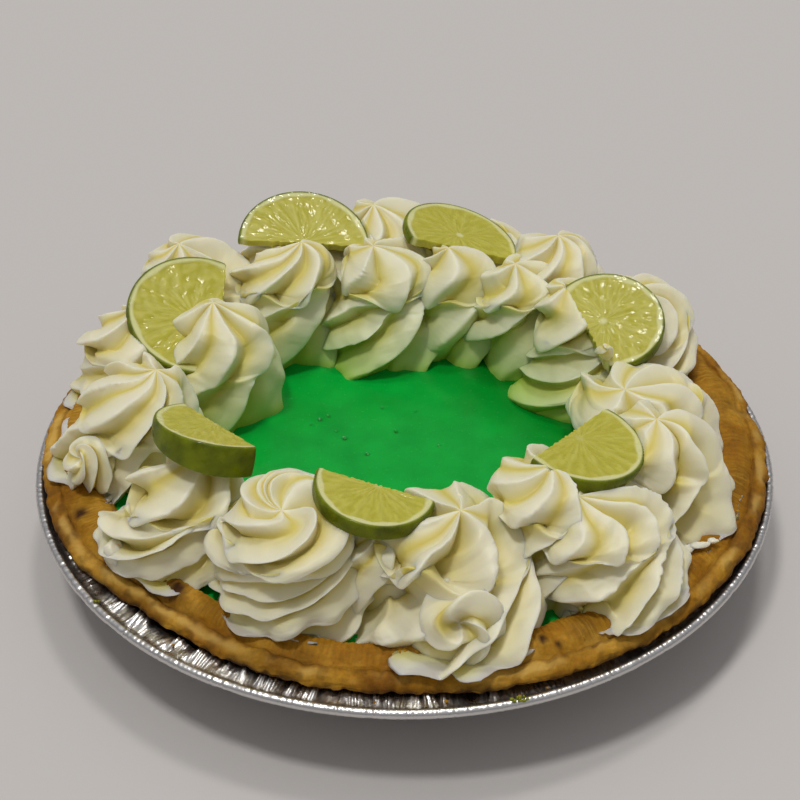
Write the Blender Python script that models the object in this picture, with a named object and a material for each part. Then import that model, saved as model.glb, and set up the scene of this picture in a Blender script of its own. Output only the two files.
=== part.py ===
"""Key lime pie in its foil tin, topped with a ring of piped cream swirls and seven cut slices of lime.

Metres, +Z up. The origin is the middle of the tin's base, which stands on the table. -Y is the front.
"""

import math

import bmesh
import bpy
import numpy as np
from mathutils import Vector

MM = 0.001
GAP = 0.3 * MM

# The foil tin: a flat base, a sloped pleated wall, a narrow flange and a rolled rim.
TIN_RADIUS = 128 * MM
TIN_HEIGHT = 30 * MM
TIN_BASE_RADIUS = 96 * MM
TIN_WALL_TOP = (116.5 * MM, 27.5 * MM)
ROLL_RADIUS = 1.7 * MM
FOIL = 0.5 * MM
PLEAT_DEPTH = 0.45 * MM
STEPS_ROUND = 60

# The crust: a thick shell whose rim stands on the flange, with a groove round it and a ragged outer lip.
CRUST_FLOOR = 5 * MM
CRUST_INNER_RADIUS = 101.2 * MM
CRUST_OUTER_RADIUS = 123.4 * MM
CRUST_TOP = 39.6 * MM
CRUST_WAVE = 0.9 * MM
# Nicks in the crust's outline: where each is, in degrees, how deep, and how many degrees wide.
CRUST_NICKS = ((159, 2.2 * MM, 4), (9, 1.8 * MM, 4), (-48, 1.2 * MM, 3), (-128, 1.0 * MM, 5))

FILLING_TOP = 34 * MM
FILLING_STEPS = 30

# Cream swirls: each turns anticlockwise as it rises and has deep flutes that draw together at its peak.
FLUTES = 6
POINTS_PER_FLUTE = 4
SWIRL_ROWS = 6
FLUTE_DEPTH = 0.27
FLUTE_SAG = 2.4 * MM
SWIRL_FOOT = 31 * MM
# Each swirl: its angle round the pie in degrees, distance from the middle, radius and height in mm,
# turn of its flutes in degrees, how pointed it is from 0 to 1, and its peak's lean, right and back, in mm.
OUTER_SWIRLS = (
    (186, 92.5, 28.5, 38, 165, 0.6, (8, 7)),
    (217, 91, 26, 35, 190, 0.4, (5, 6)),
    (245, 87, 28.5, 40, 290, 0.0, (-2, 2)),
    (277.5, 87, 34, 38, 170, 0.3, (6, 8)),
    (315, 98, 27.5, 34, 190, 0.2, (-5, 4)),
    (338, 92, 27.5, 37, 200, 0.2, (0, 2)),
    (0, 87, 29.5, 33, 220, 0.2, (-4, -4)),
    (31, 95, 26.5, 36, 180, 0.3, (-3, -2)),
    (54, 95, 26, 38, 170, 0.4, (-2, -2)),
    (75, 97, 25.5, 33, 170, 0.3, (0, -2)),
    (95, 98, 26.5, 39, 170, 0.3, (0, -2)),
    (116, 98, 25.5, 33, 170, 0.3, (0, -2)),
    (138, 101, 26.5, 39, 170, 0.2, (-6, 6)),
    (161, 98, 26, 33, 170, 0.3, (-3, 2)),
)
INNER_SWIRLS = (
    (308, 78, 26.5, 41, 170, 0.4, (-5, 0)),
    (32, 75.5, 23.5, 38, 150, 0.4, (-3, 3)),
    (55, 72, 23.5, 36, 150, 0.5, (2, 3)),
    (76, 71, 23.5, 37, 150, 0.5, (2, 2)),
    (99, 70, 26, 38, 150, 0.4, (3, 1)),
    (123, 77, 26, 39, 170, 0.4, (2, 4)),
    (156, 75, 26.5, 38, 140, 0.5, (4, 0)),
)

# Lime slices: each a wheel with a straight cut. Middle of the upper face in mm, the way that face
# looks as (bearing, rise) in degrees, radius, how far past the middle the cut lies, bearing of the
# round side within the face in degrees, and thickness in mm at the middle, growing by so much
# for each mm towards a bearing within the face.
LIME_SLICES = (
    ((-73, 39, 64), (-57, 67), 25.6, 8.5, 148, 3.6, (0.0, 0)),
    ((-37, 80, 68), (-69, 69), 24.4, 0.5, 72, 3.6, (0.0, 0)),
    ((21, 84.5, 68), (4, 72), 22.0, 8.5, 2, 3.6, (0.0, 0)),
    ((71, 33, 66), (-98, 70), 20.6, 8.0, 29, 4.6, (0.03, -50)),
    ((56, -43, 72), (2, 78), 22.4, 3.6, 230, 5.2, (0.16, 110)),
    ((-9, -70.5, 74), (-11, 81), 19.4, 1.5, 177, 5.2, (0.0, 0)),
    ((-60, -39, 74), (62, 68), 21.3, 0.5, 66, 6.2, (0.20, 130)),
)
LIME_ARC_STEPS = 10


def material(name, colour, roughness, metallic=0.0):
    """A plain finish for one sub-part."""
    made = bpy.data.materials.new(name)
    made.use_nodes = True
    shader = made.node_tree.nodes["Principled BSDF"]
    shader.inputs["Base Color"].default_value = (*colour, 1)
    shader.inputs["Roughness"].default_value = roughness
    shader.inputs["Metallic"].default_value = metallic
    return made


def mesh_object(name, points, faces, finish, smooth=True):
    """An object in the scene from its points and faces."""
    mesh = bpy.data.meshes.new(name)
    mesh.from_pydata([tuple(p) for p in points], [], faces)
    mesh.update()
    made = bpy.data.objects.new(name, mesh)
    bpy.context.scene.collection.objects.link(made)
    if finish is not None:
        mesh.materials.append(finish)
    if smooth:
        mesh.shade_smooth()
    return made


def turned(profile, shape=None, steps=STEPS_ROUND):
    """Points and faces of a profile turned round Z, from its lower pole to its upper pole.

    The profile's first and last points lie on the axis. shape(row, angle, r, z) may move a point
    outwards or upwards. It gives back the radius and the height.
    """
    rows = profile[1:-1]
    points = [(0, 0, profile[0][1])]
    for row, (radius, height) in enumerate(rows):
        for step in range(steps):
            angle = 2 * math.pi * step / steps
            r, z = shape(row + 1, angle, radius, height) if shape else (radius, height)
            points.append((r * math.cos(angle), r * math.sin(angle), z))
    points.append((0, 0, profile[-1][1]))
    top_pole = len(points) - 1
    faces = []
    for step in range(steps):
        after = (step + 1) % steps
        faces.append((0, 1 + after, 1 + step))
        for row in range(len(rows) - 1):
            low = 1 + row * steps
            high = low + steps
            faces.append((low + step, low + after, high + after, high + step))
        last = 1 + (len(rows) - 1) * steps
        faces.append((last + step, last + after, top_pole))
    return points, faces


def rolled_rim(steps=4):
    """The rim's round section, from under the flange, round the outside, to the flange's top."""
    middle = (TIN_RADIUS - ROLL_RADIUS, TIN_HEIGHT)
    section = []
    for i in range(steps + 1):
        turn = math.radians(-150 + 300 * i / steps)
        section.append((middle[0] + ROLL_RADIUS * math.cos(turn), middle[1] + ROLL_RADIUS * math.sin(turn)))
    return section


def tin_profile():
    """Underside from the middle out, round the rolled rim, then the inside back to the middle."""
    flange_end = TIN_RADIUS - 2 * ROLL_RADIUS
    outside = [
        (0, 0),
        (TIN_BASE_RADIUS - 3 * MM, 0),
        (TIN_BASE_RADIUS, 1.2 * MM),
        (TIN_WALL_TOP[0], TIN_WALL_TOP[1]),
        (flange_end - 0.5 * MM, TIN_HEIGHT - 1.2 * MM),
    ]
    inside = [
        (flange_end - 0.8 * MM, TIN_HEIGHT - 1.2 * MM + FOIL),
        (TIN_WALL_TOP[0] - FOIL, TIN_WALL_TOP[1] + FOIL),
        (TIN_BASE_RADIUS - FOIL, 1.2 * MM + FOIL),
        (TIN_BASE_RADIUS - 3 * MM, FOIL),
        (0, FOIL),
    ]
    return outside + rolled_rim() + inside


def build_tin():
    profile = tin_profile()
    pleated = {3, 4, len(profile) - 5, len(profile) - 4}

    def pleats(row, angle, r, z):
        step = round(angle * STEPS_ROUND / (2 * math.pi))
        if row in pleated and step % 2:
            z -= PLEAT_DEPTH
        return r, z

    points, faces = turned(profile, pleats)
    return mesh_object("foil_tin", points, faces, material("rolled foil", (0.78, 0.77, 0.75), 0.3, 1.0))


def crust_edge(angle):
    """How far the crust's outer lip lies outside its mean radius: slow waves less the nicks."""
    out = CRUST_WAVE * (0.6 * math.sin(angle) + 0.5 * math.sin(7 * angle + 1) + 0.4 * math.sin(13 * angle))
    for bearing, depth, width in CRUST_NICKS:
        off = (math.degrees(angle) - bearing + 180) % 360 - 180
        out -= depth * math.exp(-((off / width) ** 2))
    return out


def crust_rim():
    """The rim's section from the lip that rests on the flange, over the top and in to the filling.

    Each point is (radius, height, share of the outline's waves that it takes).
    """
    return [
        (CRUST_OUTER_RADIUS - 7.5 * MM, TIN_HEIGHT - 0.4 * MM, 0.0),
        (CRUST_OUTER_RADIUS - 3.6 * MM, TIN_HEIGHT + 0.9 * MM, 0.6),
        (CRUST_OUTER_RADIUS - 0.8 * MM, TIN_HEIGHT + 3.2 * MM, 1.0),
        (CRUST_OUTER_RADIUS, TIN_HEIGHT + 6.0 * MM, 1.0),
        (CRUST_OUTER_RADIUS - 1.8 * MM, CRUST_TOP - 1.1 * MM, 0.8),
        (CRUST_OUTER_RADIUS - 5.0 * MM, CRUST_TOP - 0.4 * MM, 0.4),
        (CRUST_OUTER_RADIUS - 7.6 * MM, CRUST_TOP - 1.7 * MM, 0.2),
        (CRUST_OUTER_RADIUS - 10.4 * MM, CRUST_TOP, 0.1),
        (CRUST_OUTER_RADIUS - 16.0 * MM, CRUST_TOP - 0.6 * MM, 0.0),
        (CRUST_OUTER_RADIUS - 21.5 * MM, CRUST_TOP - 2.6 * MM, 0.0),
        (CRUST_INNER_RADIUS, FILLING_TOP + 0.6 * MM, 0.0),
    ]


def crust_top_wave(angle, radius):
    """The rim's slow rise and fall, which grows from nothing at the filling."""
    share = max(0.0, min(1.0, (radius - CRUST_INNER_RADIUS) / (8 * MM)))
    return 0.5 * MM * share * (math.sin(5 * angle + 0.7) + 0.6 * math.sin(11 * angle + 2))


def build_crust():
    clear = 2 * GAP + PLEAT_DEPTH
    below = [
        (0, FOIL + GAP),
        (TIN_BASE_RADIUS - 4 * MM, FOIL + GAP),
        (TIN_BASE_RADIUS - FOIL - clear, 1.6 * MM + FOIL),
        (TIN_WALL_TOP[0] - FOIL - clear, TIN_WALL_TOP[1] + FOIL + 0.2 * MM),
    ]
    rim = crust_rim()
    inside = [
        (CRUST_INNER_RADIUS - 12 * MM, CRUST_FLOOR + 2 * MM),
        (CRUST_INNER_RADIUS - 15 * MM, CRUST_FLOOR),
    ]
    profile = below + [(r, z) for r, z, _ in rim] + inside + [(0, CRUST_FLOOR)]
    waves = dict(enumerate((share for _, _, share in rim), start=len(below)))

    def uneven(row, angle, r, z):
        if row not in waves:
            return r, z
        lifted = 0.0 if row < len(below) + 3 else crust_top_wave(angle, r)
        return r + waves[row] * crust_edge(angle), z + lifted

    points, faces = turned(profile, uneven)
    return mesh_object("crust", points, faces, material("baked shortcrust", (0.42, 0.2, 0.055), 0.7))


def build_filling():
    profile = [
        (0, CRUST_FLOOR + GAP),
        (CRUST_INNER_RADIUS - 15.2 * MM, CRUST_FLOOR + GAP),
        (CRUST_INNER_RADIUS - 12.5 * MM, CRUST_FLOOR + 2 * MM + GAP),
        (CRUST_INNER_RADIUS - 0.6 * MM, FILLING_TOP - 0.3 * MM),
        (CRUST_INNER_RADIUS - 1.4 * MM, FILLING_TOP),
        (0, FILLING_TOP),
    ]
    points, faces = turned(profile, steps=FILLING_STEPS)
    finish = material("green lime filling", (0.01, 0.33, 0.03), 0.35)
    return mesh_object("lime_filling", points, faces, finish)


def bed_cutter():
    """Cutter for the undersides of the swirls: a shallow dish laid on the filling and the crust's rim."""
    clear = 1.3 * MM
    rows = [
        (CRUST_INNER_RADIUS - 1.5 * MM, FILLING_TOP + GAP),
        (CRUST_INNER_RADIUS + 3.0 * MM, CRUST_TOP + clear),
        (CRUST_OUTER_RADIUS + 15 * MM, CRUST_TOP + clear),
        (CRUST_OUTER_RADIUS + 15 * MM, 0),
    ]
    points = []
    for radius, height in rows:
        for step in range(FILLING_STEPS):
            angle = 2 * math.pi * step / FILLING_STEPS
            points.append((radius * math.cos(angle), radius * math.sin(angle), height))
    first_of_last = len(points) - FILLING_STEPS
    faces = [tuple(range(FILLING_STEPS)), tuple(range(len(points) - 1, first_of_last - 1, -1))]
    for row in range(len(rows) - 1):
        near = row * FILLING_STEPS
        far = near + FILLING_STEPS
        for step in range(FILLING_STEPS):
            after = (step + 1) % FILLING_STEPS
            faces.append((near + step, far + step, far + after, near + after))
    return helper(mesh_object("bed_cutter", points, faces, None))


def swirl_grid(radius, height, turn, pointed, lean, first):
    """A piped swirl about its own axis, as an array of rows from the foot to just under the peak.

    Each row is a star of rounded flutes. The star turns as it rises, fastest at the foot, shrinks
    to the peak, and the crests of its flutes sag so that each laps over the one below.
    """
    rise = 1 - (1 - np.linspace(0, 1, SWIRL_ROWS + 1)[:-1, None]) ** 1.25
    around = np.arange(FLUTES * POINTS_PER_FLUTE)[None, :]
    star = 2 * np.pi * around / (FLUTES * POINTS_PER_FLUTE)
    twist = math.radians(turn) * (1 - (1 - rise) ** 1.5)
    crest = (0.5 + 0.5 * np.cos(FLUTES * star)) ** 0.8
    envelope = (1 - rise ** (2.9 - 1.2 * pointed)) ** (0.58 + 0.22 * pointed)
    envelope = envelope * (1 - 0.1 * np.exp(-rise / 0.08))
    depth = FLUTE_DEPTH * (1 - 0.25 * rise)
    r = radius * envelope * (1 - depth * (1 - crest))
    angle = star + twist + first
    z = height * rise - FLUTE_SAG * crest * np.sin(np.pi * np.clip(rise * 1.15, 0, 1))
    x = r * np.cos(angle) + lean[0] * rise**1.5
    y = r * np.sin(angle) + lean[1] * rise**1.5
    return np.stack([x, y, z], axis=-1)


def closed_grid(rows, low_pole, high_pole):
    """Points and faces of a stack of rings that ends in a pole below and a pole above."""
    count, around = rows.shape[:2]
    points = [low_pole, *rows.reshape(-1, 3), high_pole]
    top = len(points) - 1
    faces = []
    for step in range(around):
        after = (step + 1) % around
        faces.append((0, 1 + after, 1 + step))
        for row in range(count - 1):
            low = 1 + row * around
            high = low + around
            faces.append((low + step, low + after, high + after))
            faces.append((low + step, high + after, high + step))
        last = 1 + (count - 1) * around
        faces.append((last + step, last + after, top))
    return points, faces


def keep_side(bm, point, outwards):
    """Cuts the mesh by a plane, drops what lies on its outer side and closes the cut."""
    geometry = bm.verts[:] + bm.edges[:] + bm.faces[:]
    bmesh.ops.bisect_plane(bm, geom=geometry, plane_co=point, plane_no=outwards, clear_outer=True, dist=1e-7)
    rim = [edge for edge in bm.edges if edge.is_boundary]
    if rim:
        bmesh.ops.holes_fill(bm, edges=rim, sides=0)


def swirl_places():
    """Every swirl's name, axis (x, y), radius, height, turn, pointedness and lean, in metres and degrees."""
    places = []
    for row, swirls in (("outer", OUTER_SWIRLS), ("inner", INNER_SWIRLS)):
        for number, (bearing, distance, radius, height, turn, pointed, lean) in enumerate(swirls, start=1):
            angle = math.radians(bearing)
            axis = (distance * MM * math.cos(angle), distance * MM * math.sin(angle))
            size = (radius * MM, height * MM)
            lean_m = (lean[0] * MM, lean[1] * MM)
            places.append((f"cream_{row}_{number:02d}", axis, *size, turn, pointed, lean_m))
    return places


def swirl_mesh(place, places):
    """One swirl, cut off where the next ones press against it."""
    name, axis, radius, height, turn, pointed, lean = place
    full_height = FILLING_TOP + height - SWIRL_FOOT
    rows = swirl_grid(radius, full_height, turn, pointed, lean, first=places.index(place) * 1.3)
    points, faces = closed_grid(rows, (0, 0, 0), (lean[0], lean[1], full_height + 1.5 * MM))
    bm = bmesh.new()
    corners = [bm.verts.new((p[0] + axis[0], p[1] + axis[1], p[2] + SWIRL_FOOT)) for p in points]
    for face in faces:
        bm.faces.new([corners[i] for i in face])
    for other in places:
        between = Vector((other[1][0] - axis[0], other[1][1] - axis[1], 0))
        apart = between.length
        if other is place or apart >= radius + other[2]:
            continue
        share = (apart**2 + radius**2 - other[2] ** 2) / (2 * apart) - GAP / 2
        outwards = between / apart
        keep_side(bm, Vector((*axis, 0)) + outwards * share, outwards)
    bmesh.ops.triangulate(bm, faces=bm.faces[:])
    mesh = bpy.data.meshes.new(name)
    bm.to_mesh(mesh)
    bm.free()
    return mesh


def slice_points(grow, face_middle, facing, radius, past_middle, round_side, thickness, wedge):
    """Corners of a slice's upper outline and of its lower one, grown by so much on every side."""
    bearing, rise = (math.radians(a) for a in facing)
    normal = Vector((math.cos(rise) * math.cos(bearing), math.cos(rise) * math.sin(bearing), math.sin(rise)))
    across = Vector((0, 0, 1)).cross(normal).normalized()
    upwards = normal.cross(across)
    half_arc = math.acos(-past_middle / radius)
    thicker_by, thicker_way = wedge
    upper, lower = [], []
    for i in range(LIME_ARC_STEPS + 1):
        turn = math.radians(round_side) + half_arc * (2 * i / LIME_ARC_STEPS - 1)
        outline = (radius * MM + grow) * (across * math.cos(turn) + upwards * math.sin(turn))
        if i in (0, LIME_ARC_STEPS):
            side = math.radians(round_side)
            outline -= grow * (across * math.cos(side) + upwards * math.sin(side))
        thick = thickness + thicker_by * radius * math.cos(turn - math.radians(thicker_way))
        base = Vector([c * MM for c in face_middle]) + outline
        upper.append(base + normal * grow)
        lower.append(base - normal * (thick * MM + grow))
    return upper, lower


def slice_solid(name, grow, values, finish):
    """A lime slice as a closed prism between its two outlines."""
    upper, lower = slice_points(grow, *values)
    count = len(upper)
    faces = [tuple(range(count)), tuple(reversed(range(count, 2 * count)))]
    for i in range(count):
        after = (i + 1) % count
        faces.append((i, count + i, count + after, after))
    return mesh_object(name, upper + lower, faces, finish, smooth=False)


def helper(made):
    """Marks an object as a cutter, which is no part of the pie."""
    made.hide_render = True
    made.display_type = "WIRE"
    return made


def near_slice(place, values):
    """Whether a slice of lime may reach into a swirl."""
    middle = values[0]
    apart = math.hypot(middle[0] * MM - place[1][0], middle[1] * MM - place[1][1])
    return apart < place[2] + values[2] * MM


def largest_piece(obj):
    """Drops the loose scraps that the cuts leave beside the swirl."""
    bm = bmesh.new()
    bm.from_mesh(obj.data)
    left = set(bm.verts)
    pieces = []
    while left:
        piece = {left.pop()}
        edge_of = list(piece)
        while edge_of:
            for edge in edge_of.pop().link_edges:
                for vert in edge.verts:
                    if vert in left:
                        left.remove(vert)
                        piece.add(vert)
                        edge_of.append(vert)
        pieces.append(piece)
    largest = max(pieces, key=len)
    bmesh.ops.delete(bm, geom=[v for v in bm.verts if v not in largest], context="VERTS")
    bm.to_mesh(obj.data)
    bm.free()


def build_cream(bed, lime_cutters):
    finish = material("whipped cream", (0.8, 0.77, 0.6), 0.5)
    places = swirl_places()
    for place in places:
        made = bpy.data.objects.new(place[0], swirl_mesh(place, places))
        bpy.context.scene.collection.objects.link(made)
        made.data.materials.append(finish)
        cutters = [bed] + [cutter for values, cutter in lime_cutters if near_slice(place, values)]
        for cutter in cutters:
            cut = made.modifiers.new(f"clear of {cutter.name}", "BOOLEAN")
            cut.operation = "DIFFERENCE"
            cut.object = cutter
        graph = bpy.context.evaluated_depsgraph_get()
        cut_mesh = bpy.data.meshes.new_from_object(made.evaluated_get(graph))
        made.modifiers.clear()
        made.data = cut_mesh
        largest_piece(made)


def main():
    for old in list(bpy.data.objects):
        bpy.data.objects.remove(old)
    build_tin()
    build_crust()
    build_filling()
    peel = material("lime", (0.36, 0.4, 0.05), 0.35)
    bed = bed_cutter()
    lime_cutters = []
    for number, values in enumerate(LIME_SLICES, start=1):
        slice_solid(f"lime_slice_{number}", 0.0, values, peel)
        cutter = slice_solid(f"slice_cutter_{number}", 1.3 * GAP, values, None)
        lime_cutters.append((values, helper(cutter)))
    build_cream(bed, lime_cutters)


main()
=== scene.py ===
"""Key lime pie in its foil tin: piped cream, lime slices, green filling and shortcrust, as the eye sees them.

Metres, +Z up, in the frame of the solids. Tables and arrays of points are in millimetres and degrees.
"""

import math

import bmesh
import bpy
import numpy as np
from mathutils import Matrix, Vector


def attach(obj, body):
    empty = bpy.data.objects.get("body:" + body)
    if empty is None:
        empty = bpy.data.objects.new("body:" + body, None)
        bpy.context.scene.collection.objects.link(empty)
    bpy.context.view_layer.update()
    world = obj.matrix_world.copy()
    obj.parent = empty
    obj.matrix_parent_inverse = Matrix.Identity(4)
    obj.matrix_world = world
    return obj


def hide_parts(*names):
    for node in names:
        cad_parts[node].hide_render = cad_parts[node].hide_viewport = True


MM = 0.001
PER_METRE = 1000.0
TAU = 2 * math.pi

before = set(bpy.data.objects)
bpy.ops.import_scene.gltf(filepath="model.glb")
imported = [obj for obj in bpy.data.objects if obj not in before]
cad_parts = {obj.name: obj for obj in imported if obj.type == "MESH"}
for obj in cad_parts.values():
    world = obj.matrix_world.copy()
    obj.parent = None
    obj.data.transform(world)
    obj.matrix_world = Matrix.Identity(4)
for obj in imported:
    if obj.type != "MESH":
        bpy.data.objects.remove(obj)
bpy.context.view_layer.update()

# The tin and what it holds.
TIN_RADIUS = 128.0
TIN_HEIGHT = 30.0
TIN_BASE_RADIUS = 96.0
ROLL_RADIUS = 1.65
CRUST_INNER_RADIUS = 102.2
CRUST_OUTER_RADIUS = 123.4
CRUST_TOP = 39.6
FILLING_TOP = 34.0

# How the cream lies. Outwards it slows down over the last stretch before the distance that it can't
# pass. What would hang below the level that it lies at is flattened to that level by this share. Cream
# at the level sinks in this far, and less the higher it stands over it, so no shreds lie loose.
CREAM_SPREADS_TO = 125.5
CREAM_SLOWS_OVER = 7.0
CREAM_LIES_OVER = 0.25
CREAM_FLATTENS = 0.97
CREAM_SINKS = 0.9
CREAM_SINKS_UP_TO = 0.7

# The foot of a swirl is frilled on the rim, and only slightly where it stands on the filling. The curls
# are small enough for fewer rings.
RIM_FRILL = 1.0
FILLING_FRILL = 0.25
RIM_ROW_FROM = 85
CURL_ROWS = 110

# Where the lip of the crust's section lies before it moves, the middle of the tin's flange, and the
# distance from which crumbs lie on the foil.
LIP_RADIUS = 121.4
FLANGE_MIDDLE = 120.5
FOIL_FROM = 119

# Sines in each octave of waves(), and the sum of them that counts as 1.
WAVES_PER_OCTAVE = 7
WAVES_REACH = 3.2

# Cream swirls. Each: (angle round the pie, distance from the middle, radius, height over the filling),
# (petals, bearing where they start, how far they sweep round, how much of that lies low down, how far
# they wind on over the top), (petal depth and overhang as shares of their width, ragged lips in mm),
# (fullness of the dome, length of the peak, or depth of the pit where it is under zero, depth of the
# waist between two tiers, how far up it lies), and how far the top leans (right, back).
SWIRLS = {
    "cream_outer_01": (
        (186, 92.5, 27, 38), (7, 250, 100, 1.4, 0), (0.42, 0.22, 0.3), (0.5, 2, 0.08, 0.35), (8, 7)),
    "cream_outer_02": (
        (216, 91.5, 25, 35), (6, 230, 190, 2.0, 0), (0.50, 0.22, 0.2), (0.65, 2, 0.20, 0.42), (5, 6)),
    "cream_outer_03": (
        (247, 87.5, 26.5, 41), (7, 40, 300, 1.7, 60), (0.50, 0.25, 0.1), (1.0, -5, 0.12, 0.46), (-4, 3)),
    "cream_outer_04": (
        (277, 87, 31, 38), (6, 215, 125, 2.0, 0), (0.56, 0.16, 0.3), (0.76, 3, 0.12, 0.40), (3, 8)),
    "cream_outer_05": (
        (313, 97.5, 28, 34), (7, 200, 150, 2.2, 0), (0.50, 0.14, 0.45), (0.8, 1, 0.14, 0.42), (-9, 6)),
    "cream_outer_06": (
        (338, 92, 26.5, 37), (6, 250, 110, 1.5, 0), (0.44, 0.12, 0.1), (0.85, 1, 0.06, 0.40), (-6, 0)),
    "cream_outer_07": (
        (0, 87, 28, 33), (6, 200, 110, 1.5, 0), (0.44, 0.12, 0.1), (0.8, 1, 0.08, 0.45), (-12, -6)),
    "cream_outer_08": (
        (31, 95, 25, 36), (7, 230, 160, 1.8, 20), (0.44, 0.20, 0.1), (0.7, 2, 0.10, 0.40), (-3, -2)),
    "cream_outer_09": (
        (54, 95, 25, 38), (6, 210, 160, 1.8, 20), (0.46, 0.20, 0.1), (0.7, 2, 0.14, 0.45), (-2, -2)),
    "cream_outer_10": (
        (75, 97, 24, 33), (7, 190, 180, 1.8, 20), (0.46, 0.22, 0.1), (0.7, 2, 0.10, 0.40), (0, -2)),
    "cream_outer_11": (
        (95, 98, 25, 39), (6, 170, 160, 1.8, 20), (0.46, 0.20, 0.1), (0.7, 2, 0.14, 0.45), (0, -2)),
    "cream_outer_12": (
        (116, 98, 24, 33), (7, 150, 180, 1.8, 20), (0.46, 0.22, 0.1), (0.7, 2, 0.10, 0.40), (0, -2)),
    "cream_outer_13": (
        (138, 101, 25, 39), (6, 130, 160, 1.8, 20), (0.46, 0.20, 0.1), (0.7, 2, 0.12, 0.45), (-6, 6)),
    "cream_outer_14": (
        (161, 98, 24.5, 33), (7, 110, 180, 1.8, 20), (0.46, 0.22, 0.1), (0.7, 2, 0.10, 0.40), (-3, 2)),
    "cream_inner_01": (
        (307, 79, 26, 41), (7, 160, 110, 1.8, 20), (0.46, 0.12, 0.3), (0.8, 2, 0.10, 0.45), (-5, 0)),
    "cream_inner_02": (
        (32, 75.5, 21.5, 38), (6, 230, 220, 2.1, 30), (0.38, 0.20, 0.1), (0.85, 2, 0.14, 0.42), (-3, 3)),
    "cream_inner_03": (
        (55, 72, 22, 36), (5, 120, 120, 1.7, 20), (0.42, 0.14, 0.2), (0.7, 2, 0.14, 0.50), (2, 3)),
    "cream_inner_04": (
        (76, 71, 22, 37), (5, 150, 130, 1.5, 30), (0.42, 0.14, 0.2), (0.7, 2, 0.16, 0.45), (2, 2)),
    "cream_inner_05": (
        (99, 70, 24.5, 38), (6, 160, 130, 1.9, 20), (0.44, 0.20, 0.2), (0.8, 2, 0.22, 0.50), (3, 1)),
    "cream_inner_06": (
        (123, 77, 24.5, 39), (5, 170, 150, 1.8, 30), (0.44, 0.16, 0.2), (0.7, 2, 0.18, 0.45), (2, 4)),
    "cream_inner_07": (
        (156, 75, 25, 38), (6, 200, 50, 1.4, 0), (0.33, 0.14, 0.1), (0.6, 3, 0.05, 0.40), (4, 0)),
}

# Small curls of cream on the flanks of swirls: (right, back, up), radius, height, the way the curl looks
# as (bearing, rise), and its petals, sweep and pit.
CURLS = {
    "cream_curl_left": ((-103, -24, 46), 9.5, 12, (215, 35), (4, 200, -3)),
    "cream_curl_front": ((16, -101, 46), 14, 14, (268, 24), (3, 150, -7)),
    "cream_curl_under_lime": ((-9, -82, 34.5), 15, 30, (270, 86), (5, 90, 2)),
    "cream_curl_on_lime": ((69.4, 17.0, 63.5), 3.0, 9.5, (262, 38), (3, 60, 3)),
}

# Lime slices. Middle of the upper face, the way that face looks as (bearing, rise), radius, how far past
# the middle the cut lies, bearing of the round side within the face, thickness in the middle, and how
# much thicker it gets for each mm towards a bearing within the face.
LIME_SLICES = {
    "lime_slice_1": ((-73, 39, 64), (-57, 67), 25.6, 8.5, 148, 3.6, (0.0, 0)),
    "lime_slice_2": ((-37, 80, 68), (-69, 69), 24.4, 0.5, 72, 3.6, (0.0, 0)),
    "lime_slice_3": ((21, 84.5, 68), (4, 72), 22.0, 8.5, 2, 3.6, (0.0, 0)),
    "lime_slice_4": ((71, 33, 66), (-98, 70), 20.6, 8.0, 29, 4.6, (0.03, -50)),
    "lime_slice_5": ((56, -43, 72), (2, 78), 22.4, 3.6, 230, 5.2, (0.16, 110)),
    "lime_slice_6": ((-9, -70.5, 74), (-11, 81), 19.4, 1.5, 177, 5.2, (0.0, 0)),
    "lime_slice_7": ((-60, -39, 74), (62, 68), 21.3, 0.5, 66, 6.2, (0.20, 130)),
}

# Flakes of cream on the rim: (right, back, up), (half sizes), how far they are turned, and a seed.
CREAM_SCRAPS = (
    ((-94, -66, 42.0), (3.2, 4.0, 4.6), 0.6, 1), ((-97, -60, 41.0), (2.2, 2.6, 2.2), 0.2, 2),
    ((90, -63, 41.2), (4.6, 1.6, 1.0), 0.5, 3), ((96, -60.5, 41.4), (3.6, 1.3, 0.9), 0.3, 4),
    ((100.5, -58, 41.5), (2.0, 1.0, 0.7), 0.1, 5),
)  # fmt: skip


def hex_colour(code):
    """An sRGB hex colour as linear RGBA.

    Each channel c is c / 12.92 up to 0.04045, else ((c + 0.055) / 1.055) ** 2.4.
    """
    channels = [int(code[i : i + 2], 16) / 255 for i in (1, 3, 5)]
    return (*[c / 12.92 if c <= 0.04045 else ((c + 0.055) / 1.055) ** 2.4 for c in channels], 1.0)


def node(owner, kind, inputs=None, stops=(), **settings):
    """Adds one shader node to a material or the world.

    Settings are its attributes, and stops are a colour ramp's (place, colour). Inputs are values, hex
    colours, outputs to link to, or nodes whose first output is linked to. A colour is a hex code,
    linear RGBA or a grey.
    """
    made = owner.node_tree.nodes.new(f"ShaderNode{kind}")
    for key, value in settings.items():
        setattr(made, key, value)
    if stops:
        elements = made.color_ramp.elements
        while len(elements) < len(stops):
            elements.new(0.5)
        for element, (place, colour) in zip(elements, stops):
            element.position = place
            colour = hex_colour(colour) if isinstance(colour, str) else colour
            element.color = colour if isinstance(colour, tuple) else (colour, colour, colour, 1)
    for key, value in (inputs or {}).items():
        if isinstance(value, bpy.types.Node):
            value = value.outputs[0]
        if isinstance(value, bpy.types.NodeSocket):
            owner.node_tree.links.new(value, made.inputs[key])
        else:
            made.inputs[key].default_value = hex_colour(value) if isinstance(value, str) else value
    return made


def new_material(name):
    """An empty node material, and the pie's own coordinates in it."""
    made = bpy.data.materials.new(name)
    made.use_nodes = True
    made.node_tree.nodes.clear()
    return made, node(made, "TexCoord").outputs["Object"]


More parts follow.
